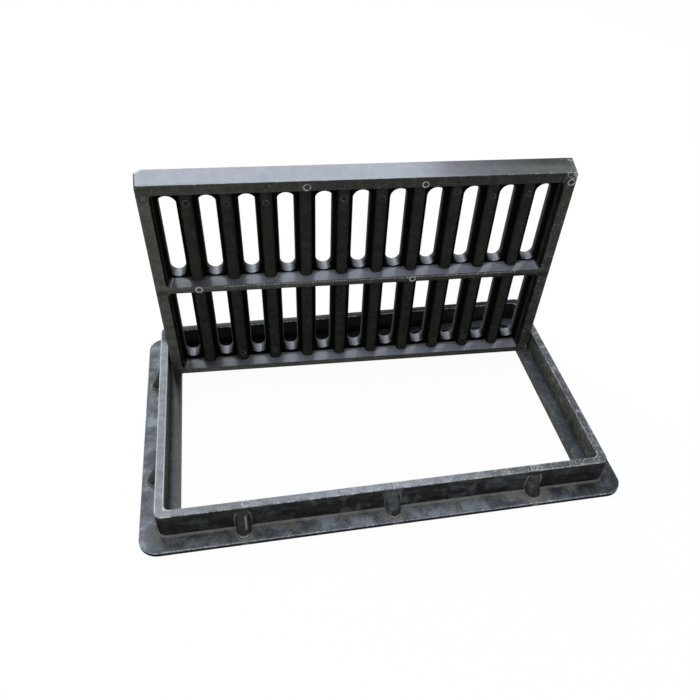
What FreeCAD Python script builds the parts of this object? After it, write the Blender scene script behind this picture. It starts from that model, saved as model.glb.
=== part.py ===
import FreeCAD, Part
import math
import os

# Gully grate with its frame, both moulded in dark composite.
# The frame lies flat. The loose grate stands on its rear edge across the frame's side ledges,
# with its ribbed underside to the front, as it does when the gully is being cleaned.
# Origin: middle of the frame's footprint, on the ground. X along the long side, Y to the rear, Z up.
# All sizes in millimetres.

# Grate, measured as it lies in use: walking face up, underside down
grate_length = 750.0
grate_width = 450.0
grate_depth = 43.0
side_draft = 5.0            # degrees, the four outer sides close in toward the underside
grate_corner_r = 5.0
beam_width = 19.0           # underside of the beams at the front and the two ends
rear_beam_width = 12.0      # underside of the beam that it stands on here
crossbar_width = 13.0       # underside of the bar across the middle
plate_thickness = 19.0      # the slotted plate under the walking face
pocket_draft = 12.0         # degrees, inner sides of beams, crossbar and ribs
pocket_corner_r = 9.0
rib_width = 19.0
rib_recess = 13.0           # ribs stop this far short of the beams' underside
rib_round = 8.0
grate_bevel = 1.2

# Slots through the plate
slot_columns = 11
slot_width = 34.0           # at the plate's underside
slot_draft = 10.0           # degrees, slots narrow toward the walking face
slot_side_land = 1.0        # plate left beside the outer slots
slot_front_land = 12.0      # plate left between slot ends and the front beam
slot_rear_land = 8.0        # the same at the rear beam
slot_bar_land = 2.7         # plate left between slot ends and the crossbar

# Small piece broken out of the front left corner of the walking face
chip_x = 12.0
chip_y = 8.0
chip_z = 10.0

# Anti-slip bars on the walking face
tread_height = 2.0
tread_width = 9.0
tread_length = 21.0
tread_pitch = 54.0

# Frame
seat_gap_x = 3.0            # between the closed grate and the frame, each end
seat_gap_y = 2.0            # the same at front and rear
rim_width = 15.0
rim_outer_r = 15.0
rim_inner_r = 10.0
ledge_height = 19.0
ledge_width = 20.0
ledge_corner_r = 8.0
flange_thickness = 9.0
flange_x = 32.0             # flange beyond the wall at the ends
flange_y = 29.0             # flange beyond the wall at front and rear
flange_corner_r = 33.0
flange_bevel = 2.0
rim_bevel = 1.2
foot_bevel = 3.5

# Leaning half-round buttresses between wall and flange
buttress_r = 12.5
buttress_reach = 24.0       # how far the foot stands out from the wall
buttress_drop = 5.0         # the top fades out this far below the rim
buttress_spacing_x = 254.0
buttress_spacing_y = 242.0
buttress_count_x = 3
buttress_count_y = 2

# How the grate stands in the frame
stand_back = 172.0          # foot of its walking face, from the middle of the frame to the rear
stand_skew = -2.2           # degrees about the vertical, the right end is nearer to the front

# Worked out from the sizes above
opening_length = grate_length + 2 * seat_gap_x
opening_width = grate_width + 2 * seat_gap_y
wall_length = opening_length + 2 * rim_width
wall_width = opening_width + 2 * rim_width
frame_height = ledge_height + grate_depth
frame_length = wall_length + 2 * flange_x
frame_width = wall_width + 2 * flange_y
pocket_depth = grate_depth - plate_thickness
side_inset = grate_depth * math.tan(math.radians(side_draft))
pocket_inset = pocket_depth * math.tan(math.radians(pocket_draft))
bite = 1.0                  # how far a fused form runs into its neighbour, or a cutter past a face

Z_AXIS = FreeCAD.Vector(0, 0, 1)
X_AXIS = FreeCAD.Vector(1, 0, 0)


def vec(x, y, z):
    return FreeCAD.Vector(x, y, z)


def rounded_outline(length, width, radius, z):
    """Closed rectangle in the plane z, with quarter circles at its corners."""
    half_x = length / 2
    half_y = width / 2
    diagonal = radius * math.sqrt(0.5)
    edges = []
    for turn in range(4):
        along, across = (half_x, half_y) if turn % 2 == 0 else (half_y, half_x)
        corner = vec(along - radius, across - radius, z)
        line = Part.LineSegment(vec(along, radius - across, z), vec(along, across - radius, z))
        arc = Part.Arc(corner + vec(radius, 0, 0), corner + vec(diagonal, diagonal, 0),
                       corner + vec(0, radius, 0))
        for curve in (line, arc):
            edge = curve.toShape()
            edge.rotate(vec(0, 0, 0), Z_AXIS, 90 * turn)
            edges.append(edge)
    return Part.Wire(edges)


def slab(length, width, radius, bottom, top):
    """Upright plate or block with rounded corners."""
    face = Part.Face(rounded_outline(length, width, radius, bottom))
    return face.extrude(vec(0, 0, top - bottom))


def tapered_block(length, width, draft, radius, bottom, top):
    """Block whose four sides close in by the draft angle as it rises, with rounded upright corners.
    Length and width are those at z = 0, and the draft may be negative."""
    slope = math.tan(math.radians(draft))

    def half(size, z):
        return size / 2 - z * slope

    block = Part.makeWedge(-half(length, bottom), bottom, -half(width, bottom),
                           -half(width, top), -half(length, top),
                           half(length, bottom), top, half(width, bottom),
                           half(width, top), half(length, top))
    block.rotate(vec(0, 0, 0), X_AXIS, 90)
    upright = [e for e in block.Edges if e.BoundBox.ZLength > (top - bottom) / 2]
    return block.makeFillet(radius, upright)


def level_edges(shape, height, keep):
    """Edges that lie wholly at one height and whose middle point passes the test."""
    found = []
    for edge in shape.Edges:
        box = edge.BoundBox
        flat = abs(box.ZMin - height) < 1e-4 and abs(box.ZMax - height) < 1e-4
        if flat and keep(edge.valueAt((edge.FirstParameter + edge.LastParameter) / 2)):
            found.append(edge)
    return found


def outside(length, width, margin):
    """Test for points within a margin of the outline of a length by width rectangle, or beyond it."""
    return lambda p: abs(p.x) > length / 2 - margin or abs(p.y) > width / 2 - margin


# Frame

def flange():
    plate = slab(frame_length, frame_width, flange_corner_r, 0, flange_thickness)
    return plate.makeChamfer(flange_bevel, level_edges(plate, flange_thickness, lambda p: True))


def wall_and_flange():
    """Flange with the upright wall on it and a sloped foot all round the wall."""
    wall = slab(wall_length, wall_width, rim_outer_r, 0, frame_height)
    body = flange().fuse(wall)
    near_wall = outside(wall_length, wall_width, rim_outer_r)
    beyond_wall = outside(wall_length + bite, wall_width + bite, 0)
    foot = level_edges(body, flange_thickness, lambda p: near_wall(p) and not beyond_wall(p))
    body = body.makeChamfer(foot_bevel, foot)
    return body.makeChamfer(rim_bevel, level_edges(body, frame_height, lambda p: True))


def frame_opening():
    """What the wall and ledge leave free: the seat for the grate and the way down through it."""
    seat = slab(opening_length, opening_width, rim_inner_r, ledge_height, frame_height + bite)
    way_down = slab(opening_length - 2 * ledge_width, opening_width - 2 * ledge_width,
                    ledge_corner_r, -bite, ledge_height + bite)
    return seat.fuse(way_down)


def buttress():
    """Half-round rod that leans on the front face of the wall, with its middle at x = 0."""
    top = frame_height - buttress_drop
    rise = top - flange_thickness
    lean = math.atan2(buttress_reach, rise)
    axis_depth = buttress_r / math.cos(lean)
    over = buttress_r + bite
    direction = vec(0, math.sin(lean), math.cos(lean))
    foot = vec(0, -wall_width / 2 - buttress_reach + axis_depth, flange_thickness)
    rod = Part.makeCylinder(buttress_r, (rise + 2 * over) / math.cos(lean),
                            foot - direction * (over / math.cos(lean)), direction)
    keep_depth = buttress_reach + bite + rim_width / 2
    keep = Part.makeBox(2 * over, keep_depth, frame_height - buttress_drop / 2 - flange_thickness / 2,
                        vec(-over, -wall_width / 2 - buttress_reach - bite, flange_thickness / 2))
    return rod.common(keep)


def row_positions(count, spacing):
    return [(i - (count - 1) / 2) * spacing for i in range(count)]


def all_buttresses():
    """The same buttress along front and rear, and turned to the two ends."""
    rods = []
    for quarter in range(4):
        at_end = quarter % 2 == 1
        places = row_positions(buttress_count_y if at_end else buttress_count_x,
                               buttress_spacing_y if at_end else buttress_spacing_x)
        for place in places:
            rod = buttress()
            if at_end:
                rod.translate(vec(0, (wall_width - wall_length) / 2, 0))
            rod.translate(vec(place, 0, 0))
            rod.rotate(vec(0, 0, 0), Z_AXIS, 90 * quarter)
            rods.append(rod)
    return rods


def make_frame():
    body = wall_and_flange().fuse(all_buttresses())
    body = body.cut(frame_opening())
    inner = outside(opening_length, opening_width, rim_inner_r)
    beyond = outside(opening_length + bite, opening_width + bite, 0)
    rim = level_edges(body, frame_height, lambda p: inner(p) and not beyond(p))
    return body.makeChamfer(rim_bevel, rim).removeSplitter()


# Grate, as it lies closed: underside at z = 0, walking face at z = grate_depth

def grate_block():
    block = tapered_block(grate_length - 2 * side_inset, grate_width - 2 * side_inset, -side_draft,
                          grate_corner_r, 0, grate_depth)
    return block.makeChamfer(grate_bevel, level_edges(block, grate_depth, lambda p: True))


def beam(side):
    """Width of the beam along the front (-1) or the rear (+1)."""
    return rear_beam_width if side > 0 else beam_width


def pocket(side):
    """Hollow in the underside between the crossbar and the front (-1) or rear (+1) beam."""
    length = grate_length - 2 * side_inset - 2 * beam_width
    near = crossbar_width / 2
    far = grate_width / 2 - side_inset - beam(side)
    hollow = tapered_block(length, far - near, pocket_draft, pocket_corner_r, -bite, pocket_depth)
    hollow.translate(vec(0, side * (far + near) / 2, 0))
    return hollow


def rib(x):
    """Rounded rib under the plate, from the front beam through the crossbar to the rear beam."""
    bottom = rib_recess
    top = pocket_depth + bite
    half = rib_width / 2
    spread = (top - bottom) * math.tan(math.radians(pocket_draft))
    front, rear = [side * (grate_width / 2 - side_inset - beam(side) / 2) for side in (-1, 1)]
    points = [vec(x - half, front, bottom), vec(x + half, front, bottom),
              vec(x + half + spread, front, top), vec(x - half - spread, front, top)]
    bar = Part.Face(Part.makePolygon(points + points[:1])).extrude(vec(0, rear - front, 0))
    long_edges = level_edges(bar, bottom, lambda p: front + bite < p.y < rear - bite)
    return bar.makeFillet(rib_round, long_edges)


def slot_row(side):
    """Near and far end of a row of slots at the plate's underside, as distances from the crossbar's
    middle toward the front (-1) or the rear (+1)."""
    land = slot_rear_land if side > 0 else slot_front_land
    near = crossbar_width / 2 + pocket_inset + slot_bar_land
    far = grate_width / 2 - side_inset - beam(side) - pocket_inset - land
    return near, far


def slot_places():
    """Middle lines of the slot columns."""
    free = grate_length - 2 * (side_inset + beam_width + pocket_inset + slot_side_land)
    pitch = (free - slot_width) / (slot_columns - 1)
    return row_positions(slot_columns, pitch), pitch


def slot_cutter(side):
    """One slot about x = 0: two cones for its round ends and a wedge between them. It narrows from
    the plate's underside to the walking face."""
    near, far = slot_row(side)
    slope = math.tan(math.radians(slot_draft))
    bottom = pocket_depth - bite
    height = plate_thickness + 2 * bite
    wide = slot_width / 2 + bite * slope
    narrow = wide - height * slope
    reach = (far - near - slot_width) / 2
    middle = Part.makeWedge(-wide, bottom, -reach, -reach, -narrow,
                            wide, bottom + height, reach, reach, narrow)
    middle.rotate(vec(0, 0, 0), X_AXIS, 90)
    ends = [Part.makeCone(wide, narrow, height, vec(0, y, bottom)) for y in (-reach, reach)]
    cutter = middle.fuse(ends)
    cutter.translate(vec(0, side * (near + far) / 2, 0))
    return cutter


def tread_bars(places, pitch):
    """Rows of low anti-slip bars across the lands between the slots."""
    bars = []
    for x in [place + pitch / 2 for place in places[:-1]]:
        for side in (-1, 1):
            near, far = slot_row(side)
            for y in row_positions(int((far - near) // tread_pitch), tread_pitch):
                bar = Part.makeBox(tread_length, tread_width, tread_height + bite,
                                   vec(x - tread_length / 2, side * (near + far) / 2 + y - tread_width / 2,
                                       grate_depth - bite))
                bars.append(bar)
    return bars


def chip():
    """The piece broken out of the corner: what one sloping plane cuts off it."""
    grow = 1 + bite / chip_x + bite / chip_y + bite / chip_z
    tip = vec(-grate_length / 2 - bite, -grate_width / 2 - bite, grate_depth + bite)
    a, b, c = [tip + leg * grow for leg in (vec(chip_x, 0, 0), vec(0, chip_y, 0), vec(0, 0, -chip_z))]
    sides = [(tip, b, a), (tip, c, b), (tip, a, c), (a, b, c)]
    faces = [Part.Face(Part.makePolygon([p, q, r, p])) for p, q, r in sides]
    return Part.Solid(Part.Shell(faces))


def make_grate():
    body = grate_block()
    body = body.cut([pocket(-1), pocket(1), chip()])
    places, pitch = slot_places()
    body = body.fuse([rib(x + pitch / 2) for x in places[:-1]])
    cutters = []
    for side in (-1, 1):
        for x in places:
            slot = slot_cutter(side)
            slot.translate(vec(x, 0, 0))
            cutters.append(slot)
    body = body.cut(cutters)
    return body.fuse(tread_bars(places, pitch)).removeSplitter()


def stand_up(grate):
    """Turn the lying grate onto its sloped rear side and set it on the frame's side ledges."""
    foot = vec(0, grate_width / 2, grate_depth)
    grate.translate(foot * -1)
    grate.rotate(vec(0, 0, 0), X_AXIS, side_draft - 90)
    grate.rotate(vec(0, 0, 0), Z_AXIS, stand_skew)
    grate.translate(vec(0, stand_back, ledge_height))
    return grate


os.makedirs("parts", exist_ok=True)
make_frame().exportStep("parts/frame.step")
stand_up(make_grate()).exportStep("parts/grate.step")
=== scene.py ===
# %% [markdown]
# # Gully grate standing in its frame
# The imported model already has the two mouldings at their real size: a frame that lies flat and a loose
# slotted grate that stands on its edge in it. Blender adds the looks: camera, light, the finish of the
# moulded composite, and the small marks that moulding and use leave on it. Everything is in metres.

import math
from types import SimpleNamespace

import bpy
from mathutils import Euler, Matrix, Vector


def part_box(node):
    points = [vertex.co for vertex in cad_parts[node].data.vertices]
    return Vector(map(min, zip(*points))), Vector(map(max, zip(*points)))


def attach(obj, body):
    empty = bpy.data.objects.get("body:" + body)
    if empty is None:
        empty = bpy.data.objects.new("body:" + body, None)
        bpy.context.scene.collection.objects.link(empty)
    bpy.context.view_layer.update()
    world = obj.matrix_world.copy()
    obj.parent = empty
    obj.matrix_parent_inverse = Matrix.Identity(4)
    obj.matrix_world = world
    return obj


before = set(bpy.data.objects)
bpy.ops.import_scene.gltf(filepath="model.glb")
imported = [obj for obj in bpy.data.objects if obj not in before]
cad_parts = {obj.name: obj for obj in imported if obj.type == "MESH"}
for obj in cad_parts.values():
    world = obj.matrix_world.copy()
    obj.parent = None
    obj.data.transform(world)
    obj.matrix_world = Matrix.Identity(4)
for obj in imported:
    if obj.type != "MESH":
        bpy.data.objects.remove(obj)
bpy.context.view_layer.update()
scene = bpy.context.scene

# %% [markdown]
# ## Camera
# The photograph was taken from in front and a little to the left, looking down at about 42 degrees. A view
# can be matched by eye, but here its place, focal length and middle of the picture were worked out from
# straight edges of the frame, so that those edges fall on each other. A camera's own axes are the columns
# of its matrix: to the right, up, and backwards, away from what it looks at.

# %% Camera at the photograph's viewing angle
PICTURE = 700                                 # width and height of the photograph, pixels
FOCAL = 720.53                                # focal length, pixels
MIDDLE = (376.50, 361.62)                     # where the line of sight meets the picture, pixels
CAMERA_PLACE = (-0.21664, -0.97293, 1.03277)
YAW, PITCH, ROLL = 0.2317, -0.7329, 0.0624    # radians


def camera_matrix():
    forward = Vector((math.sin(YAW) * math.cos(PITCH), math.cos(YAW) * math.cos(PITCH), math.sin(PITCH)))
    level = Vector((math.cos(YAW), -math.sin(YAW), 0))
    upward = level.cross(forward)
    right = level * math.cos(ROLL) + upward * math.sin(ROLL)
    up = upward * math.cos(ROLL) - level * math.sin(ROLL)
    axes = Matrix((right, up, -forward)).transposed()
    return Matrix.Translation(CAMERA_PLACE) @ axes.to_4x4()


lens = bpy.data.cameras.new("camera")
lens.lens = lens.sensor_width * FOCAL / PICTURE
lens.shift_x = 0.5 - MIDDLE[0] / PICTURE
lens.shift_y = MIDDLE[1] / PICTURE - 0.5
camera = bpy.data.objects.new("camera", lens)
camera.matrix_world = camera_matrix()
scene.collection.objects.link(camera)
scene.camera = camera
print("lens", round(lens.lens, 2), "mm, shift", round(lens.shift_x, 4), round(lens.shift_y, 4))

# %% [markdown]
# ## Nodes as arithmetic
# A material or a Geometry Nodes tree is a graph of nodes. Adding each node by hand takes many lines, so a
# small class, `Wire`, stands for one output socket. Its operators add Math or Vector Math nodes, so that
# `1 - dust * 0.5` reads as it would in Python. A mask is a Wire that is 1 where something lies and 0 where
# it doesn't. `rise` and `fall` make masks out of a place: their two numbers are where the soft step starts
# and where it ends.

# %% Wire, a socket on which sums can be written
class Wire:
    """One output socket, on which sums can be written."""

    def __init__(self, graph, socket):
        self.graph, self.socket = graph, socket

    def math(self, operation, *values):
        if any(isinstance(v, Wire) and v.socket.type == "VECTOR" for v in values):
            spread = [(v, v, v) if isinstance(v, (int, float)) else v for v in values]
            return self.graph.node("ShaderNodeVectorMath", {"operation": operation}, dict(enumerate(spread)))
        return self.graph.node("ShaderNodeMath", {"operation": operation}, dict(enumerate(values)))

    def __add__(self, other):
        return self.math("ADD", self, other)

    def __radd__(self, other):
        return self.math("ADD", other, self)

    def __sub__(self, other):
        return self.math("SUBTRACT", self, other)

    def __rsub__(self, other):
        return self.math("SUBTRACT", other, self)

    def __mul__(self, other):
        return self.math("MULTIPLY", self, other)

    def __rmul__(self, other):
        return self.math("MULTIPLY", other, self)

    def __abs__(self):
        return self.math("ABSOLUTE", self)

    def largest(self, other):
        return self.math("MAXIMUM", self, other)

    def smallest(self, other):
        return self.math("MINIMUM", self, other)

    def limited(self):
        return self.largest(0.0).smallest(1.0)

    def rise(self, low, high):
        """0 below low, 1 above high, and a soft step between them."""
        return self.graph.node("ShaderNodeMapRange", {"interpolation_type": "SMOOTHSTEP"},
                               {"Value": self, "From Min": low, "From Max": high})

    def fall(self, low, high):
        """1 below low, 0 above high, and a soft step between them."""
        return 1 - self.rise(low, high)

    def blend(self, low, high):
        """The colour low where this is 0 and high where it is 1."""
        return self.graph.node("ShaderNodeMix", {"data_type": "RGBA"}, {0: self, 6: low, 7: high}, 2)

    def parts(self):
        """The three numbers of a vector."""
        first = self.graph.node("ShaderNodeSeparateXYZ", {}, {0: self})
        return [Wire(self.graph, socket) for socket in first.socket.node.outputs]


print("helper: Wire, for sums on sockets")

# %% [markdown]
# Every other node comes from one method, `Graph.node`. It sets the node's settings first and its inputs
# after them, because some settings change which inputs a node has. Cloudy noise and a stretched place are
# wanted by nearly every finish, so they have methods of their own.

# %% Graph, which adds nodes
class Graph:
    """Adds nodes to a tree, for a material or for Geometry Nodes alike."""

    def __init__(self, tree):
        self.tree = tree

    def node(self, kind, settings, inputs, output=0):
        node = self.tree.nodes.new(kind)
        for name, value in settings.items():
            setattr(node, name, value)
        for key, value in inputs.items():
            self.feed(node.inputs[key], value)
        return Wire(self, node.outputs[output])

    def feed(self, socket, value):
        if isinstance(value, Wire):
            self.tree.links.new(value.socket, socket)
        else:
            socket.default_value = value

    def noise(self, place, scale, detail=4.0, roughness=0.55):
        """Cloudy pattern between about 0.2 and 0.8; its blobs are about 1 / scale across."""
        return self.node("ShaderNodeTexNoise", {}, {"Vector": place, "Scale": scale, "Detail": detail,
                                                    "Roughness": roughness})

    def stretched(self, place, turn, stretch):
        """The place turned and then squeezed, which draws a pattern out into streaks."""
        return self.node("ShaderNodeMapping", {}, {"Vector": place, "Rotation": turn, "Scale": stretch})


print("helper: Graph, for nodes")

# %% [markdown]
# ## Floor
# The photograph shows the object on plain white. Strong lamps would whiten a floor too, but they would also
# wash out the object. So the floor's shader mixes in plain white for camera, glossy and see-through rays:
# it looks white, lights the object no more than a pale floor does, and keeps a faint soft shadow.

# %% Floor
HALF_FLOOR = 12.0
FLOOR_COLOUR = (0.9, 0.9, 0.9, 1)
WHITE = (1, 1, 1, 1)
FLOOR_WHITENESS = 0.96      # share of plain white that the camera sees on the floor


def seen_directly(graph):
    """1 for rays from the camera, from a gloss or through glass, and 0 for light that bounces."""
    seen = [graph.node("ShaderNodeLightPath", {}, {}, ray) for ray in
            ("Is Camera Ray", "Is Glossy Ray", "Is Transmission Ray")]
    return seen[0].largest(seen[1]).largest(seen[2])


def floor_material():
    material = bpy.data.materials.new("floor")
    material.use_nodes = True
    graph = Graph(material.node_tree)
    material.node_tree.nodes.clear()
    matt = graph.node("ShaderNodeBsdfDiffuse", {}, {"Color": FLOOR_COLOUR})
    white = graph.node("ShaderNodeEmission", {}, {"Color": WHITE, "Strength": 1.0})
    mixed = graph.node("ShaderNodeMixShader", {},
                       {0: seen_directly(graph) * FLOOR_WHITENESS, 1: matt, 2: white})
    output = material.node_tree.nodes.new("ShaderNodeOutputMaterial")
    graph.feed(output.inputs["Surface"], mixed)
    return material


floor_mesh = bpy.data.meshes.new("floor")
corners = [(-HALF_FLOOR, -HALF_FLOOR, 0), (HALF_FLOOR, -HALF_FLOOR, 0),
           (HALF_FLOOR, HALF_FLOOR, 0), (-HALF_FLOOR, HALF_FLOOR, 0)]
floor_mesh.from_pydata(corners, [], [(0, 1, 2, 3)])
floor_mesh.materials.append(floor_material())
floor = bpy.data.objects.new("floor", floor_mesh)
scene.collection.objects.link(floor)
print("floor", 2 * HALF_FLOOR, "m square")

# %% [markdown]
# ## Studio light
# The composite is nearly black, so most of what shows on it is the reflection of a bright sky: faces that
# look up are pale and blue, and faces that look to the front stay dark. A wide sky box behind and above the
# object, a little to the left, is what the grate's free edge and slopes reflect. A top box straight above
# lights the rim and the flange, and a weak box in front, on the left, keeps the ribs readable. The world
# fills in evenly.

# %% World and soft boxes
WORLD_STRENGTH = 0.32
SKY_TINT = (0.86, 0.93, 1.0)
FILL_TINT = (1.0, 1.0, 0.96)
SOFT_BOXES = [  # name, place, the point it is aimed at, width and height, watts, tint
    ("sky_box", (-0.65, 2.4, 2.9), (0, 0, 0.2), (3.5, 2.2), 100, SKY_TINT),
    ("top_box", (0.2, 0.7, 3.1), (0.2, 0.7, 0), (3.2, 2.6), 54, SKY_TINT),
    ("front_box", (-1.8, -2.2, 2.0), (0, 0, 0.2), (1.4, 1.4), 14, FILL_TINT)]

world = bpy.data.worlds.new("studio")
scene.world = world
world.use_nodes = True
sky = Graph(world.node_tree)
lit = world.node_tree.nodes["Background"]
lit.inputs["Color"].default_value = WHITE
strength = seen_directly(sky) * (1 - WORLD_STRENGTH) + WORLD_STRENGTH
sky.feed(lit.inputs["Strength"], strength)


def soft_box(name, place, aim, size, power, tint):
    light = bpy.data.lights.new(name, "AREA")
    light.shape = "RECTANGLE"
    light.size, light.size_y = size
    light.energy = power
    light.color = tint
    lamp = bpy.data.objects.new(name, light)
    place, aim = Vector(place), Vector(aim)
    facing = (place - aim).to_track_quat("Z", "Y").to_matrix().to_4x4()
    lamp.matrix_world = Matrix.Translation(place) @ facing
    scene.collection.objects.link(lamp)
    print(name, "at", tuple(round(c, 2) for c in place), "power", power, "W")


for box in SOFT_BOXES:
    soft_box(*box)
scene.view_settings.view_transform = "Standard"

# %% [markdown]
# ## Moulded composite
# Both pieces are pressed from black filled resin. A new moulding is satin and evenly dark; on site it gets
# rubbed grey, dusty and scratched. A picture could be wrapped round the shape, but patterns that are worked
# out from the place itself have no seams and the right scale on every face. Four cloudy patterns, from
# the fine moulding grain up to slow changes along the piece, are enough. Scratches are where one more
# pattern, drawn out long, passes through its middle value.

# %% Patterns in the composite
GRAIN = 1500                # fine moulding grain, patterns per metre
FLECK = 420                 # chalky specks
MOTTLE = 70                 # patches about a centimetre across
CLOUD = 9                   # slow change along the piece
SCRATCHES = [(14, 0.4), (22, 1.9)]              # patterns per metre, and the turn of the scratches
SCRATCH_STRETCH = (1.0, 0.16, 0.6)
SCRATCH_HALF_WIDTH = 0.006  # in units of the scratch pattern


def scratches(graph, place, scale, turn):
    """Thin broken lines: where a drawn-out cloud pattern passes through its middle value."""
    drawn = graph.stretched(place, (0.3, 0.5, turn), SCRATCH_STRETCH)
    line = abs(graph.noise(drawn, scale, 2.0) - 0.5).fall(0.0, SCRATCH_HALF_WIDTH)
    return line * graph.noise(place, scale * 0.6, 1.0).rise(0.5, 0.62)


print("patterns per metre", GRAIN, FLECK, MOTTLE, CLOUD, "and", len(SCRATCHES), "sets of scratches")

# %% [markdown]
# One function turns those patterns into the finish of a moulding. It starts from the dark tint, lays thin
# patchy films over it, and then adds chalky scuffs and scratches where the piece is worn. The base is matt
# and the sheen is a thin coat, strong only where a face is smooth, so the ribs can stay as dark as they are.

# %% The finish that both mouldings share
BASE_REFLECTION = 0.0       # the raw composite is matt; all gloss comes from the coat
CHALK_COVER = 0.75          # scuffs never quite hide the composite
BUMP_STRENGTH = 0.35
BUMP_DEPTH = 0.0006         # metres


def moulded_composite(name, dark, chalk, blur, surface):
    """A material for one moulding, with a coat whose roughness is blur. surface(graph) gives the place, the
    films as triples of how much, how patchy and which colour, wear (how many chalky scuffs, 0 to 1) and
    sheen (0 dull, 1 as new)."""
    material = bpy.data.materials.new(name)
    material.use_nodes = True
    graph = Graph(material.node_tree)
    shader = material.node_tree.nodes["Principled BSDF"]
    shader.inputs["Specular IOR Level"].default_value = BASE_REFLECTION
    shader.inputs["Coat Roughness"].default_value = blur
    place, films, wear, sheen = surface(graph)

    cloud = graph.noise(place, CLOUD, 3.0)
    mottle = graph.noise(place, MOTTLE, 5.0, 0.65)
    fleck = graph.noise(place, FLECK, 3.0, 0.6)
    grain = graph.noise(place, GRAIN, 2.0)

    # Where the films lie thin (-1) and thick (1).
    patches = mottle.rise(0.32, 0.68) * 0.7 + cloud.rise(0.3, 0.7) * 0.5 + fleck.rise(0.38, 0.62) * 0.8 - 1
    tint = mottle.rise(0.35, 0.7).blend([0.7 * c for c in dark] + [1], [1.35 * c for c in dark] + [1])
    for amount, patchy, colour in films:
        tint = (amount * (1 + patches * patchy)).limited().blend(tint, (*colour, 1))

    scuff = (fleck * 0.65 + mottle * 0.35 + wear * 0.14).rise(0.64, 0.69) * wear.rise(0.02, 0.4)
    sets = [scratches(graph, place, scale, turn) for scale, turn in SCRATCHES]
    lines = (sets[0] + sets[1]) * wear.rise(0.12, 0.7) * 0.6
    rubbed = (scuff + lines).limited()
    graph.feed(shader.inputs["Base Color"], (rubbed * CHALK_COVER).blend(tint, (*chalk, 1)))
    graph.feed(shader.inputs["Roughness"], 0.45 + mottle * 0.2 + rubbed * 0.2)
    graph.feed(shader.inputs["Coat Weight"], sheen * (0.7 + mottle * 0.6) * (1 - rubbed * 0.7))

    height = grain * 0.3 + fleck * 0.45 + mottle * 0.7 - lines * 0.4
    graph.feed(shader.inputs["Normal"], graph.node(
        "ShaderNodeBump", {}, {"Strength": BUMP_STRENGTH, "Distance": BUMP_DEPTH, "Height": height}))
    return material


print("helper: moulded_composite, the finish of both pieces")

# %% [markdown]
# ## The frame's faces
# Dust settles on the faces that look up: the rim, the ledge inside and the flange. The walls stay dark on
# the outside and are rubbed and brownish inside, where the grate is dropped in. The slope at the wall's
# foot is pale. The rear of the rim and of the inside lie in the standing grate's shade, and less dust and
# rubbing there is painted shade. Painting each face by hand would be lost when a size changes, so each is
# found from its height, its distance from the rim and the way it looks, and the masks follow the shape.

# %% Masks for the frame's faces
FRAME_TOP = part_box("frame")[1][2]
WALL_HALF = (0.393, 0.242)          # outside of the wall, from the middle of the frame
RIM_MIDDLE = (0.3855, 0.2345)       # middle of the rim's width
LEDGE_TOP = 0.019
FLANGE_TOP = 0.009
FOOT_TOP = 0.0125                   # end of the slope at the wall's foot
GRATE_SHADE_DEPTH = (0.18, 0.21)         # painted shade of the standing grate grows over this distance to the rear


def frame_faces(x, y, z, up):
    """Masks by name. up is the upward part of the way a face looks."""
    looks_up = up.rise(0.55, 0.95)
    from_rim = (abs(x) - RIM_MIDDLE[0]).largest(abs(y) - RIM_MIDDLE[1])
    outside = from_rim.rise(-0.0005, 0.0005)
    on_rim = z.rise(FRAME_TOP - 0.0018, FRAME_TOP - 0.0008)
    wall = (1 - looks_up) * (1 - on_rim)
    grate_shade = y.rise(*GRATE_SHADE_DEPTH)
    flange_side = z.rise(FLANGE_TOP - 0.0035, FLANGE_TOP - 0.002) * z.fall(FLANGE_TOP - 0.0008, FLANGE_TOP)
    on_foot = z.rise(FLANGE_TOP + 0.0002, FLANGE_TOP + 0.001) * z.fall(FOOT_TOP - 0.001, FOOT_TOP)
    above_foot = z.rise(FOOT_TOP - 0.0014, FOOT_TOP - 0.0004) * z.fall(FOOT_TOP + 0.0008, FOOT_TOP + 0.0024)
    return SimpleNamespace(
        outside=outside,
        # inside faces in the standing grate's shade, where the painted shade film goes
        grate_shade_inside=grate_shade * (1 - outside),
        # less dust on the rear of the rim: painted shade of the standing grate
        rim=looks_up * on_rim * (1 - grate_shade * (0.75 + x.rise(-0.3, 0.1) * 0.2)),
        # rim edges: real wear, and a painted highlight where the rounded edge catches the light
        rim_edge_wear_and_light=on_rim * up.rise(0.1, 0.3) * (1 - looks_up),
        lip=on_rim * abs(from_rim).rise(0.0046, 0.0062),
        ledge=looks_up * (1 - outside) * z.fall(LEDGE_TOP, LEDGE_TOP + 0.004),
        # less rubbed film inside the rear wall: painted shade of the standing grate
        inner_wall=(1 - outside) * wall * (1 - grate_shade * 0.9),
        outer_wall=outside * z.rise(FOOT_TOP, FOOT_TOP + 0.002) * wall,
        foot=outside * on_foot,
        foot_line=outside * above_foot,
        flange=outside * z.fall(FLANGE_TOP, FLANGE_TOP + 0.002) * looks_up,
        # flange edge: real wear, and a painted highlight along its rounded edge
        flange_edge_wear_and_light=outside * flange_side)


print("frame top at", round(FRAME_TOP, 4), "m, flange top at", FLANGE_TOP, "m")

# %% [markdown]
# ## The buttresses
# Leaning half-round buttresses hold the wall. Cement stays in the corner round each of them, and a painted
# highlight lines the fillet where each meets the wall, so the finish has to know how far it is from the
# nearest one. Their level section is half an ellipse, and the distance from its axis, counted in radii, is 1
# on the surface. Ping-pong folds the whole row on the front onto one.

# %% Distance from the nearest buttress
BUTTRESS_RADIUS = 0.0125
BUTTRESS_DEPTH = 0.014              # half of its level section, outward
BUTTRESS_AXIS = 0.010               # from the wall to its axis, at the flange
BUTTRESS_LEAN = 0.5                 # how far it leans in as it rises
BUTTRESS_SPACING = 0.254            # along the front and rear
BUTTRESS_AT_END = 0.121             # from the middle, along the two ends


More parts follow.
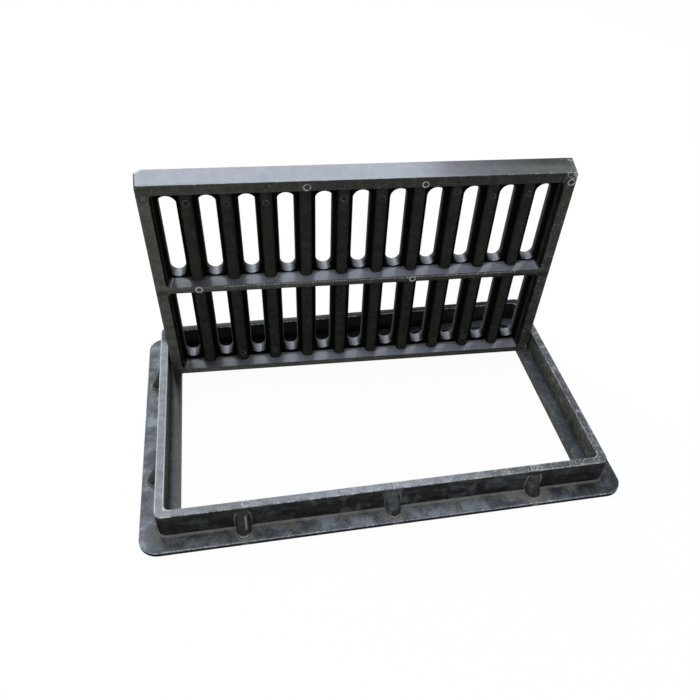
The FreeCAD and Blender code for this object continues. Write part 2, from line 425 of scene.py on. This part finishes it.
def round_buttress(along, outward, z):
    """1 on the surface of a buttress and more further away, in units of its radius."""
    depth = (outward - BUTTRESS_AXIS + (z - FLANGE_TOP) * BUTTRESS_LEAN) * (1 / BUTTRESS_DEPTH)
    across = along * (1 / BUTTRESS_RADIUS)
    square = across * across + depth * depth
    return square.math("SQRT", square)


def nearest_buttress(x, y, z):
    on_front = round_buttress(x.math("PINGPONG", x, BUTTRESS_SPACING / 2), abs(y) - WALL_HALF[1], z)
    on_end = round_buttress(abs(abs(y) - BUTTRESS_AT_END), abs(x) - WALL_HALF[0], z)
    return on_front.smallest(on_end)


print("buttresses", BUTTRESS_SPACING, "m apart, radius", BUTTRESS_RADIUS, "m")

# %% [markdown]
# ## Marks on the frame
# Some marks are smaller than a face: streaks along the wall, runs down it, smears of cement at its foot, a
# pale disc on the flange, a painted highlight round the fillet of each buttress and a painted glint down one
# buttress. Streaks and runs are noise that is drawn out level or downwards. The single marks stand at places
# read from the photograph.

# %% Masks for the frame's marks
STREAKS, STREAK_STRETCH = 130, (0.15, 0.15, 1.0)    # patterns per metre, drawn out along the wall
RUNS, RUN_STRETCH = 110, (1.0, 1.0, 0.12)           # drawn out down the wall
SMEARS = 27
PALE_SPOT = (0.104, -0.2575)        # an ejector pin left a pale disc on the flange here
SMEAR_START, SMEAR_END = 0.150, 0.236               # the largest smear ends at the right front buttress
GLINT_PLACE = -0.2495               # x of a painted glint down the left front buttress


def frame_marks(graph, place, on):
    """Masks by name. on holds the masks of the faces."""
    x, y, z = place.parts()
    from_buttress = nearest_buttress(x, y, z)
    buttress = on.outside * from_buttress.fall(1.01, 1.05) * z.fall(0.05, 0.057)
    round_it = from_buttress.rise(1.02, 1.06) * from_buttress.fall(1.1, 1.3)
    drawn_level = graph.stretched(place, (0, 0, 0), STREAK_STRETCH)
    drawn_down = graph.stretched(place, (0, 0, 0), RUN_STRETCH)
    near_wall = (abs(x) - WALL_HALF[0]).largest(abs(y) - WALL_HALF[1]).fall(0.004, 0.020)
    foot_strip = on.foot + on.flange * near_wall
    half_spot = abs(x - PALE_SPOT[0]).largest(abs(y - PALE_SPOT[1]))
    glint_height = z.rise(0.022, 0.026) * z.fall(0.042, 0.048)
    return SimpleNamespace(
        buttress=buttress,
        # painted highlight: a pale line round the fillet where each buttress meets the wall
        outline=on.outside * round_it * z.fall(0.045, 0.055),
        beside=from_buttress.fall(1.2, 2.6) * (on.foot + on.flange * 0.7),
        foot_strip=foot_strip,
        upper_wall=on.outer_wall * z.rise(0.03, 0.058),
        spot=half_spot.fall(0.0045, 0.0065) * on.flange,
        smear=foot_strip * x.rise(SMEAR_START, SMEAR_END) * x.fall(SMEAR_END, SMEAR_END + 0.012),
        # painted highlight: a glint down the left front buttress
        glint=buttress * abs(x - GLINT_PLACE).fall(0.0006, 0.0018) * glint_height,
        streaks=graph.noise(drawn_level, STREAKS, 4.0, 0.6).rise(0.45, 0.7),
        runs=graph.noise(drawn_down, RUNS, 4.0).rise(0.5, 0.75),
        smears=graph.noise(place, SMEARS, 3.0).rise(0.5, 0.62))


# The mark at GLINT_PLACE is a painted glint, a highlight down the left front buttress.
print("marks: spot", PALE_SPOT, "smear up to", SMEAR_END, "scratch at", GLINT_PLACE)

# %% [markdown]
# ## The frame's finish
# Now each film is a sum of masks. In `rim * (0.36 + middle * 0.42)`, the first number is how much dust lies
# on all of the rim and the second how much more lies in the middle of its length. The inside of the rear
# wall lies in the grate's shade, and a last near-black film paints that shade on it.

# %% Films, wear and sheen on the frame
DUST_AND_EDGE_LIGHT_FILM = (0.29, 0.315, 0.355)
RUBBED_FILM = (0.135, 0.142, 0.118)
CEMENT_AND_HIGHLIGHT_FILM = (0.27, 0.27, 0.235)
SHADE_BLACK = (0.002, 0.002, 0.002)
FRAME_DARK, FRAME_CHALK, FRAME_BLUR = (0.019, 0.0215, 0.0225), (0.64, 0.65, 0.66), 0.24


def frame_films(on, mark, x):
    middle = x.rise(-0.3, 0.0) * x.fall(0.05, 0.3)
    right = x.rise(-0.05, 0.25)
    far_right = x.rise(0.31, 0.39)
    left_flange = x.fall(-0.402, -0.395)
    rubbed = on.inner_wall * (0.75 + mark.runs * 0.3 - right * 0.2) + mark.buttress * mark.runs * 0.12 \
        + mark.upper_wall * (0.07 + right * 0.1) * (0.3 + mark.streaks) + on.outer_wall * mark.streaks * 0.16
    # Real cement at the foot, beside the buttresses and in smears, with the painted fillet highlight and the
    # painted glint in the same pale colour.
    cement_and_highlights = on.foot_line * 0.95 + mark.outline * (0.55 + right * 0.3) + mark.spot * 0.6 \
        + mark.beside * (0.3 + right * 0.7) * 0.7 + mark.smear * 0.8 + mark.glint * 1.5 \
        + mark.foot_strip * mark.smears * (0.35 + middle * 0.45 + right * 0.35)
    on_flange = (0.42 + middle * 0.75 + left_flange * 0.12 - far_right * 0.24) * (0.45 + mark.streaks * 1.3)
    # Dust, with painted highlights on the rim's and flange's rounded edges.
    dust_and_edge_light = on.rim * (0.36 + middle * 0.42 - right * 0.2) + on.rim_edge_wear_and_light * 0.9 \
        + on.flange * on_flange + on.flange_edge_wear_and_light * 0.7 \
        + on.foot * (0.5 + middle * 0.25) + on.ledge * (0.06 + right * 0.2) \
        + on.outer_wall * mark.smears * (0.06 + middle * 0.14)
    # Painted shade: a near-black film inside the rear wall and rim, where the standing grate shades them.
    painted_grate_shade = on.grate_shade_inside * x.fall(0.15, 0.33) * 0.75
    return [(rubbed, 0.7, RUBBED_FILM), (dust_and_edge_light, 0.75, DUST_AND_EDGE_LIGHT_FILM), (cement_and_highlights, 0.5, CEMENT_AND_HIGHLIGHT_FILM),
            (painted_grate_shade, 0.1, SHADE_BLACK)]


def frame_wear(on, mark, x):
    right = x.rise(-0.05, 0.25)
    left_side = x.fall(-0.37, -0.36)
    return on.rim * (0.22 + right * 0.4) + on.rim_edge_wear_and_light * 0.8 + on.lip * (0.35 + left_side * 1.3) \
        + on.flange_edge_wear_and_light * 0.6 + on.flange * (0.1 + right * 0.12) + on.inner_wall * (0.12 + right * 0.2) \
        + on.ledge * (0.12 + right * 0.15) + mark.buttress * 0.05 + on.outer_wall * 0.07 + 0.02


def frame_surface(graph):
    place = graph.node("ShaderNodeTexCoord", {}, {}, "Object")
    facing = graph.node("ShaderNodeTexCoord", {}, {}, "Normal")
    x, y, z = place.parts()
    on = frame_faces(x, y, z, facing.parts()[2])
    mark = frame_marks(graph, place, on)
    sheen = 0.05 + on.rim * 0.8 + on.rim_edge_wear_and_light * 0.5 + on.ledge * 0.4 + on.flange * 0.2 \
        + on.inner_wall * 0.15 + mark.buttress * 0.25
    return place, frame_films(on, mark, x), frame_wear(on, mark, x), sheen


frame_finish = moulded_composite("frame_composite", FRAME_DARK, FRAME_CHALK, FRAME_BLUR, frame_surface)
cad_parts["frame"].data.materials.clear()
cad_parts["frame"].data.materials.append(frame_finish)
print("frame finish on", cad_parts["frame"].name)

# %% [markdown]
# ## The grate's faces
# The grate stands askew, so its faces are told apart in its own axes: u along it, v up from the edge that
# it stands on, and w in from the underside, which looks at the camera. A Mapping node of the kind
# "texture" undoes the turn and the shift that stood it up.

# %% Masks for the grate's faces
STAND = (0, 0.172, 0.019)                   # foot of the walking face
LEAN = math.radians(-85)
SKEW = math.radians(-2.2)
GRATE_HALF = 0.375
GRATE_WIDTH = 0.45
GRATE_DEPTH = 0.043
PLATE = 0.024                               # underside of the slotted plate, along w
RIB_CREST = 0.013                           # undersides of the ribs, along w
CROSSBAR = 0.225                            # middle of the crossbar, along v, and half of the width
BEAM = 0.0205                               # from the outline in to the pockets, at the two ends
SIDE_BEAM = BEAM * 0.7                      # the same at the two long sides


def grate_place(graph):
    """The place in the grate's own axes, as one vector and as u, v and w."""
    world_place = graph.node("ShaderNodeTexCoord", {}, {}, "Object")
    place = graph.node("ShaderNodeMapping", {"vector_type": "TEXTURE"},
                       {"Vector": world_place, "Location": STAND, "Rotation": (LEAN, 0, SKEW)})
    u, minus_v, w_below = place.parts()
    return place, (u, minus_v * -1, w_below + GRATE_DEPTH)


def grate_faces(u, v, w, up):
    """Masks by name. up is the upward part of the way a face looks."""
    looks_up = up.rise(0.5, 0.95)
    past_end, past_side = abs(u) - GRATE_HALF, abs(v - CROSSBAR) - CROSSBAR     # below 0 inside the outline
    underside = w.fall(0.0004, 0.0016)
    pocket = (past_end + BEAM).largest(past_side + SIDE_BEAM).fall(-0.001, 0.001)
    free_face = v.rise(GRATE_WIDTH - 0.0045, GRATE_WIDTH - 0.003) * looks_up
    slope = looks_up * (1 - free_face) * (1 - underside)
    slot_wall = w.rise(PLATE + 0.0004, PLATE + 0.002) * pocket
    in_groove = w.rise(PLATE - 0.008, PLATE - 0.002) * w.fall(PLATE + 0.004, PLATE + 0.010)
    corner = past_end.rise(-0.04, 0.01) * past_side.rise(-0.04, 0.01)
    return SimpleNamespace(
        underside=underside, free_face=free_face, slope=slope, slot_wall=slot_wall, corner=corner,
        walking=w.rise(GRATE_DEPTH - 0.0008, GRATE_DEPTH),
        # painted highlight on the rib crests; painted light on the slot walls near the walking face
        rib_crest_light=pocket * w.rise(RIB_CREST - 0.003, RIB_CREST) * w.fall(RIB_CREST + 0.001, RIB_CREST + 0.006),
        # painted shade: the grooves beside the ribs, deep in the recess
        groove_shade=pocket * in_groove * (1 - slope),
        slot_edge_light=slot_wall * w.rise(GRATE_DEPTH - 0.011, GRATE_DEPTH - 0.001) * (1 - slope),
        crossbar=abs(v - CROSSBAR).fall(0.009, 0.012),
        top_beam=v.rise(GRATE_WIDTH - 0.03, GRATE_WIDTH - 0.022),
        right_beam=u.rise(GRATE_HALF - 0.028, GRATE_HALF - 0.02),
        right_corner=corner * u.rise(0.0, 0.1) * v.rise(CROSSBAR, CROSSBAR + 0.1),
        edge_wear_and_light=past_end.largest(past_side).rise(-0.0052, -0.0035) * underside)


print("grate", 2 * GRATE_HALF, "by", GRATE_WIDTH, "m, leaning", round(90 + math.degrees(LEAN), 1), "degrees")

# %% [markdown]
# ## The grate's finish
# The underside is rubbed grey on the beams. The grooves beside the ribs get painted shade, near black; the
# rib crests get a painted highlight, the slot walls a painted band of light near the walking face, and the
# outline's rounded edge a line that is partly wear and partly painted highlight. Slopes, the walking face
# and the free edge on top get a painted reflection of the sky besides their coat; the free edge is palest on
# the left and turns grey to the right, with a painted reflection band there. One corner is chipped, and the
# resin inside is cream and brown.

# %% Films, wear and sheen on the grate
PAINTED_SKY_COLOUR = (0.30, 0.32, 0.385)
GREY_FILM = (0.31, 0.325, 0.315)
CHIP_COLOUR = (0.55, 0.44, 0.31)
GROOVE_SHADE_BLACK = (0.002, 0.002, 0.0018)
GRATE_DARK, GRATE_CHALK, GRATE_BLUR = (0.0115, 0.0114, 0.0095), (0.56, 0.58, 0.60), 0.16


def grate_films(on, bright, u, v, w):
    on_crossbar = on.crossbar * (v.rise(CROSSBAR - 0.006, CROSSBAR + 0.005) * 0.3 - 0.22)
    # The rubbed film also paints light: a highlight on the rib crests, the lit band on the slot walls, and a
    # line on the outline's rounded edge that is partly wear.
    rubbed = on.underside * (0.3 + u.fall(-0.3, 0.33) * 0.26 + on_crossbar) * (1 - on.top_beam * 0.45) \
        + on.edge_wear_and_light * 0.3 + on.rib_crest_light * 0.13 + on.slot_edge_light * 0.75
    # Painted reflection of the sky: a pale blue film on the free edge, palest on the left, on the walking
    # face, on the slot ends and on the slopes, more to the left.
    painted_sky_reflection = on.free_face * bright * 0.54 + on.walking * 0.4 + on.slope * on.slot_wall * 0.3 \
        + on.slope * (1 - on.slot_wall) * (0.22 + u.rise(-0.32, -0.1) * 0.46)
    # Grey film on the right of the free edge, with a painted reflection band across it.
    askew = w + u * 0.012
    reflection_band = askew.rise(0.004, 0.012) * askew.fall(0.020, 0.036)
    grey_and_reflection_band = on.free_face * (1 - bright) * (0.13 + reflection_band * 0.15)
    chip = (u + GRATE_HALF + (GRATE_WIDTH - v) * 1.5 + (GRATE_DEPTH - w) * 1.2).fall(0.0170, 0.0195)
    # The last film, near black in the grooves, is painted shade.
    return [(rubbed, 0.6, RUBBED_FILM), (painted_sky_reflection, 0.12, PAINTED_SKY_COLOUR), (grey_and_reflection_band, 0.25, GREY_FILM),
            (chip, 0.3, CHIP_COLOUR), (on.groove_shade * 0.78, 0.1, GROOVE_SHADE_BLACK)]


def grate_surface(graph):
    place, (u, v, w) = grate_place(graph)
    facing = graph.node("ShaderNodeTexCoord", {}, {}, "Normal")
    on = grate_faces(u, v, w, facing.parts()[2])
    # the side where the free edge gets the painted sky reflection and more coat
    bright = u.fall(0.03, 0.34)
    wear = on.underside * (0.2 + on.corner * 0.6 + on.right_corner * 1.1 + on.edge_wear_and_light * 0.4
                           + on.right_beam * 0.12) \
        + on.free_face * (0.08 + on.right_corner * 0.9) + on.walking * 0.4 + 0.02
    sheen = on.slope * 0.9 + on.free_face * (0.3 + bright * 0.55) + on.underside * 0.12 + on.walking * 0.15
    return place, grate_films(on, bright, u, v, w), wear, sheen


grate_finish = moulded_composite("grate_composite", GRATE_DARK, GRATE_CHALK, GRATE_BLUR, grate_surface)
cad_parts["grate"].data.materials.clear()
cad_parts["grate"].data.materials.append(grate_finish)
print("grate finish on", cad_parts["grate"].name)

# %% [markdown]
# ## Geometry Nodes from Python
# Marks that repeat are made by Geometry Nodes: one shape is drawn once and set on many places. `Recipe`
# starts a tree with named inputs, so that the sizes stand in one place, and ends it with plain mesh.

# %% Recipe, a tree with named inputs
class Recipe(Graph):
    """A Geometry Nodes tree with named inputs: name -> (kind of socket, default value)."""

    def __init__(self, name, sizes):
        super().__init__(bpy.data.node_groups.new(name, "GeometryNodeTree"))
        for key, (kind, value) in sizes.items():
            socket = self.tree.interface.new_socket(name=key, in_out="INPUT", socket_type="NodeSocket" + kind)
            if value is not None:
                socket.default_value = value
        self.tree.interface.new_socket(name="Marks", in_out="OUTPUT", socket_type="NodeSocketGeometry")
        inputs = self.tree.nodes.new("NodeGroupInput")
        self.given = {socket.name: Wire(self, socket) for socket in inputs.outputs if socket.name}

    def finish(self, marks):
        """Copies become plain mesh, take the finish and leave the tree."""
        plain = self.node("GeometryNodeRealizeInstances", {}, {"Geometry": marks})
        done = self.node("GeometryNodeSetMaterial", {}, {"Geometry": plain, "Material": self.given["Finish"]})
        output = self.tree.nodes.new("NodeGroupOutput")
        self.feed(output.inputs["Marks"], done)
        return self.tree


print("helper: Recipe, for Geometry Nodes")

# %% [markdown]
# A tree runs as a modifier. `grow` hangs it on a mesh of points, sets its inputs, keeps the result as a
# plain mesh and throws the modifier away, because the finished model may hold none. Inputs of a modifier go
# by the socket's identifier, so `set_input` looks that up from the name.

# %% Run a tree and keep its mesh
def set_input(modifier, name, value):
    for item in modifier.node_group.interface.items_tree:
        if item.item_type == "SOCKET" and item.in_out == "INPUT" and item.name == name:
            modifier[item.identifier] = value


def grow(name, points, tree, values):
    """Runs a tree on a mesh of points and returns the result as a plain mesh object."""
    seed_mesh = bpy.data.meshes.new(name + "_places")
    seed_mesh.from_pydata(points, [], [])
    seed = bpy.data.objects.new(name + "_places", seed_mesh)
    scene.collection.objects.link(seed)
    modifier = seed.modifiers.new("grow", "NODES")
    modifier.node_group = tree
    for key, value in values.items():
        set_input(modifier, key, value)
    depsgraph = bpy.context.evaluated_depsgraph_get()
    mesh = bpy.data.meshes.new_from_object(seed.evaluated_get(depsgraph), depsgraph=depsgraph)
    seed.modifiers.remove(modifier)
    bpy.data.objects.remove(seed)
    piece = bpy.data.objects.new(name, mesh)
    scene.collection.objects.link(piece)
    print(name, len(mesh.polygons), "faces")
    return piece


def from_grate(u, v, w):
    """A place in the grate's own axes, as it stands in the frame."""
    stood = Matrix.Translation(STAND) @ Euler((LEAN, 0, SKEW)).to_matrix().to_4x4()
    return stood @ Vector((u, -v, w - GRATE_DEPTH))


print("helpers: grow, from_grate")

# %% [markdown]
# ## Marks of the ejector pins
# Pins push a moulding out of its mould, and each one leaves a round mark with a fine raised ring. A bump
# would do from afar, but the ring catches the light on its ridge, so it is real mesh: a thin ring,
# flattened and half sunk into the surface, set on every place.

# %% The ring
RING_RADIUS = 0.0056
RIDGE_RADIUS = 0.0011
RIDGE_HEIGHT = 0.5          # of the ridge's own radius that stands out, by flattening it
RING_SIZES = {"Min": 0.92, "Max": 1.08, "Seed": 4}


def ring_tree():
    recipe = Recipe("pin_rings", {
        "Places": ("Geometry", None), "Ring Radius": ("Float", RING_RADIUS),
        "Ridge Radius": ("Float", RIDGE_RADIUS), "Facing": ("Rotation", None), "Finish": ("Material", None)})
    given = recipe.given
    path = recipe.node("GeometryNodeCurvePrimitiveCircle", {},
                       {"Resolution": 24, "Radius": given["Ring Radius"]})
    section = recipe.node("GeometryNodeCurvePrimitiveCircle", {},
                          {"Resolution": 8, "Radius": given["Ridge Radius"]})
    ring = recipe.node("GeometryNodeCurveToMesh", {}, {"Curve": path, "Profile Curve": section})
    flat = recipe.node("GeometryNodeTransform", {}, {"Geometry": ring, "Scale": (1, 1, RIDGE_HEIGHT)})
    size = recipe.node("FunctionNodeRandomValue", {"data_type": "FLOAT"}, RING_SIZES, 1)
    return recipe.finish(recipe.node("GeometryNodeInstanceOnPoints", {}, {
        "Points": given["Places"], "Instance": flat, "Rotation": given["Facing"], "Scale": size}))


rings = ring_tree()
print("ring", 2 * RING_RADIUS, "m across")

# %% [markdown]
# The rings stand proud, so they are rubbed first: the same composite, greyer and scuffed. Rings on the
# crossbar are rubbed nearly white, and rings on the beams and the rim are pale. On the recessed ribs, which
# nothing touches, they stay dark.

# %% Finishes of the rings
RUBBED_PATCHES = 160        # patterns per metre
RING_CHALK = (0.55, 0.56, 0.56)


def rubbed_composite(name, dark, film, share, sheen):
    """The composite where share of it is rubbed to the colour film."""
    def surface(graph):
        place = graph.node("ShaderNodeTexCoord", {}, {}, "Object")
        patch = graph.noise(place, RUBBED_PATCHES, 2.0).rise(0.4, 0.6)
        return place, [(share * (0.4 + patch), 0.5, film)], share * (0.2 + patch), sheen * (1 - patch * 0.5)
    return moulded_composite(name, dark, RING_CHALK, FRAME_BLUR, surface)


bright_finish = rubbed_composite("rubbed_bright", (0.09, 0.095, 0.09), (0.66, 0.67, 0.66), 1.4, 0.5)
pale_finish = rubbed_composite("rubbed_pale", (0.07, 0.074, 0.07), (0.55, 0.56, 0.55), 0.7, 0.4)
quiet_finish = rubbed_composite("rubbed_quiet", (0.02, 0.02, 0.018), RUBBED_FILM, 0.3, 0.3)
print("finishes", bright_finish.name, pale_finish.name, quiet_finish.name)

# %% [markdown]
# The places were read from the photograph and carried onto the faces they lie on: u, v and w for the
# grate, x, y and z for the frame's rim.

# %% Rings in their places
BRIGHT_PINS = [(-0.295, 0.2245, 0), (0.100, 0.2245, 0)]
PALE_PINS = [(-0.097, 0.434, 0), (0.103, 0.432, 0), (0.363, 0.427, 0)]
QUIET_PINS = [(-0.361, 0.421, 0), (-0.295, 0.438, 0), (-0.098, 0.2245, 0), (-0.366, 0.034, 0)] \
    + [(u, v, RIB_CREST) for u, v in [
        (-0.296, 0.402), (-0.230, 0.399), (-0.165, 0.398), (-0.033, 0.401), (0.033, 0.398), (0.165, 0.407),
        (0.230, 0.395), (0.296, 0.397), (-0.230, 0.040), (-0.165, 0.042), (0.165, 0.040), (0.230, 0.046)]]
FRAME_PINS = [(-0.247, -0.2345, FRAME_TOP), (0.003, -0.2345, FRAME_TOP), (0.253, -0.2345, FRAME_TOP)]
UNDERSIDE_FACING = Euler((LEAN + math.pi, 0, SKEW))     # turns a ring's own z out of the underside

pieces = {}
for name, pins, finish in [("grate_bright_rings", BRIGHT_PINS, bright_finish),
                           ("grate_pale_rings", PALE_PINS, pale_finish),
                           ("grate_quiet_rings", QUIET_PINS, quiet_finish)]:
    pieces[name] = grow(name, [from_grate(*pin) for pin in pins], rings,
                        {"Facing": UNDERSIDE_FACING, "Finish": finish})
pieces["frame_rings"] = grow("frame_rings", FRAME_PINS, rings, {"Finish": pale_finish})

# %% [markdown]
# ## Beads of flash
# A row of tiny pale beads runs along the upper edge of the crossbar: resin that was pressed into the joint
# of the mould. They could be modelled one by one, but nobody could tell them apart. So they are small
# crumbs set out along a line, and random numbers with a fixed seed shift, stretch and turn each of them.

# %% Beads along the crossbar
BEAD_ROW_ENDS = ((-0.25, 0.2297, 0.0), (0.30, 0.2297, 0.0))     # u, v, w
BEAD_ROW = {"Count": 106, "Scatter": 0.0009, "Bead Radius": 0.0014, "Seed": 3}
SHIFTS = {"Min": (-1, -0.1, -0.1), "Max": (1, 0.1, 0.1)}        # times the scatter, mostly along the row
STRETCHES = {"Min": (0.5, 0.5, 0.5), "Max": (1.2, 1.1, 1.1)}
TURNS = {"Min": (-3.0, -3.0, -3.0), "Max": (3.0, 3.0, 3.0)}


def bead_tree():
    recipe = Recipe("flash_beads", {
        "From": ("Vector", None), "To": ("Vector", None), "Count": ("Int", None), "Scatter": ("Float", None),
        "Bead Radius": ("Float", None), "Seed": ("Int", None), "Finish": ("Material", None)})
    given = recipe.given

    def random_vector(limits, seed):
        return recipe.node("FunctionNodeRandomValue", {"data_type": "FLOAT_VECTOR"}, {**limits, "Seed": seed})

    line = recipe.node("GeometryNodeMeshLine", {"mode": "END_POINTS"},
                       {"Count": given["Count"], "Start Location": given["From"], "Offset": given["To"]})
    shift = random_vector(SHIFTS, given["Seed"])
    places = recipe.node("GeometryNodeSetPosition", {}, {"Geometry": line, "Offset": shift * given["Scatter"]})
    ball = recipe.node("GeometryNodeMeshIcoSphere", {}, {"Radius": given["Bead Radius"], "Subdivisions": 2})
    return recipe.finish(recipe.node("GeometryNodeInstanceOnPoints", {}, {
        "Points": places, "Instance": ball, "Rotation": random_vector(TURNS, given["Seed"] + 2),
        "Scale": random_vector(STRETCHES, given["Seed"] + 1)}))


start, end = [from_grate(*place) for place in BEAD_ROW_ENDS]
pieces["grate_flash_beads"] = grow("grate_flash_beads", [], bead_tree(), {
    "From": start, "To": end, "Finish": bright_finish, **BEAD_ROW})

# %% [markdown]
# ## Riding on the model
# Nothing here moves, so every piece rides on the one body, and each keeps the finish that its tree gave it.

# %% Every added piece rides on the model
for name, piece in pieces.items():
    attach(piece, "root")
print(len(pieces), "added pieces ride on the model")
